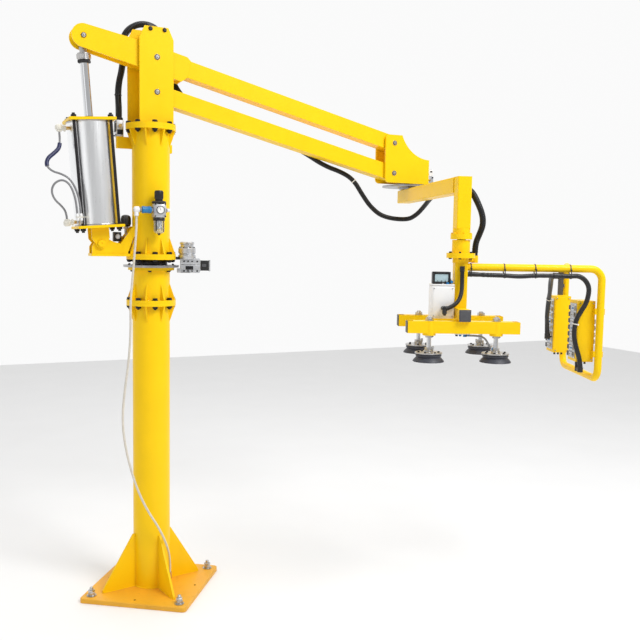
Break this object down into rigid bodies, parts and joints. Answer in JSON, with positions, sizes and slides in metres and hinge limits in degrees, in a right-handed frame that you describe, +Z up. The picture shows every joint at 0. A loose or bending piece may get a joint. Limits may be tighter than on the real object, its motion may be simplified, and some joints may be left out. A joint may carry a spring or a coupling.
{
  "type": "pneumatic manipulator arm",
  "caption": "Column-mounted pneumatic balancing arm: parallel beams lifted by an air cylinder, swivelling forearm, and a vacuum cup tool steered by a looped handle.",
  "frame": {"origin": "on the floor, at the column's axis", "axes": "+X along the arm from its tail to its tip, +Y away from the operator's side, +Z up"},
  "size_m": [2.7861, 1.7685, 3.156],
  "materials": {
    "yellow_paint": "glossy bright yellow enamel",
    "dark_steel": "dark zinc plated",
    "bright_steel": "machined",
    "chrome": "hard chrome",
    "aluminium": "anodised and polished",
    "black_plastic": "moulded",
    "smoky_plastic": "translucent",
    "white_plastic": "satin off-white",
    "brass": "nickel plated",
    "cup_rubber": "matte",
    "hose_black": "matte",
    "hose_beige": "polyurethane",
    "hose_grey": "polyurethane"
  },
  "bodies": {
    "base": {"base_plate": "yellow_paint", "base_gussets": "yellow_paint", "lower_column": "yellow_paint", "column_flange": "yellow_paint", "spool_flange": "yellow_paint", "column_ribs": "yellow_paint", "spool": "yellow_paint", "supply_inlet": "brass", "column_brake_disc": "dark_steel"},
    "turret": {"swivel_spindle": "yellow_paint", "foot_plate": "yellow_paint", "turret_tube": "yellow_paint", "turret_ribs": "yellow_paint", "turret_flange": "yellow_paint", "head_flange": "yellow_paint", "head_plate_front": "yellow_paint", "head_plate_rear": "yellow_paint", "turret_pins": "dark_steel", "cylinder_bracket": "yellow_paint", "valve_bracket": "black_plastic", "filter_regulator": "black_plastic", "filter_bowl": "smoky_plastic", "column_brake": "aluminium", "supply_hose": "hose_beige", "head_hose": "hose_black"},
    "boom": {"boom_tail_plates": "yellow_paint", "boom_hub": "yellow_paint", "boom_beam": "yellow_paint", "lift_pins": "dark_steel"},
    "link": {"link_beam": "yellow_paint", "arm_hose": "hose_black"},
    "wrist": {"wrist_plates": "yellow_paint", "wrist_floor": "yellow_paint", "wrist_pins": "dark_steel", "wrist_brake": "aluminium", "wrist_hose": "hose_black"},
    "cylinder": {"cylinder_barrel": "aluminium", "cylinder_top_plate": "yellow_paint", "cylinder_foot": "yellow_paint", "tie_rods": "dark_steel", "cylinder_fittings": "white_plastic", "cylinder_hoses": "hose_grey"},
    "rod": {"piston_rod": "chrome", "rod_eye": "bright_steel"},
    "forearm": {"wrist_disc": "bright_steel", "forearm_beam": "yellow_paint", "forearm_post": "yellow_paint", "tool_collar": "yellow_paint", "post_hose": "hose_black"},
    "tool": {"swivel_housing": "yellow_paint", "tool_post": "yellow_paint", "cross_tube": "yellow_paint", "cup_beams": "yellow_paint", "cup_stems": "bright_steel", "suction_cups": "cup_rubber", "vacuum_unit": "white_plastic", "handle_frame": "yellow_paint", "control_boxes": "yellow_paint", "tool_hoses": "hose_black", "tool_fittings": "black_plastic"}
  },
  "joints": [
    {"name": "column_swivel", "type": "hinge", "parent": "base", "child": "turret", "pos_m": [0, 0, 1.86], "axis": [0, 0, 1], "range_deg": [-120, 120], "deforming": ["supply_hose"]},
    {"name": "arm_lift", "type": "hinge", "parent": "turret", "child": "link", "pos_m": [0.0185, 0, 2.755], "axis": [0, -1, 0], "range_deg": [-20, 30], "deforming": ["head_hose"]},
    {"name": "boom_pivot", "type": "hinge", "parent": "turret", "child": "boom", "pos_m": [0.0185, 0, 2.937], "axis": [0, -1, 0], "range_deg": [-20.5, 30.5]},
    {"name": "wrist_level", "type": "hinge", "parent": "link", "child": "wrist", "pos_m": [1.49456, 0, 2.40063], "axis": [0, -1, 0], "range_deg": [-30.5, 20.5], "deforming": ["arm_hose"]},
    {"name": "cylinder_tilt", "type": "hinge", "parent": "turret", "child": "cylinder", "pos_m": [-0.28, 0, 1.944], "axis": [0, -1, 0], "range_deg": [-1.5, 2.1]},
    {"name": "rod_slide", "type": "slide", "parent": "cylinder", "child": "rod", "axis": [-0.0747, 0, 0.9972], "range_m": [-0.193, 0.129]},
    {"name": "wrist_swivel", "type": "hinge", "parent": "wrist", "child": "forearm", "pos_m": [1.64256, 0, 2.308], "axis": [0, 0, 1], "range_deg": [-22.7, 142.3], "deforming": ["wrist_hose"]},
    {"name": "tool_swivel", "type": "hinge", "parent": "forearm", "child": "tool", "pos_m": [1.31515, -1.05119, 1.996], "axis": [0, 0, 1], "range_deg": [-120, 120], "deforming": ["post_hose"]}
  ],
  "couplings": [
    {"joint": "boom_pivot", "follows": "arm_lift", "ratio": 1},
    {"joint": "wrist_level", "follows": "arm_lift", "ratio": -1},
    {"joint": "cylinder_tilt", "follows": "arm_lift", "ratio": 0.0658},
    {"joint": "rod_slide", "follows": "arm_lift", "m_per_rad": -0.3655}
  ]
}
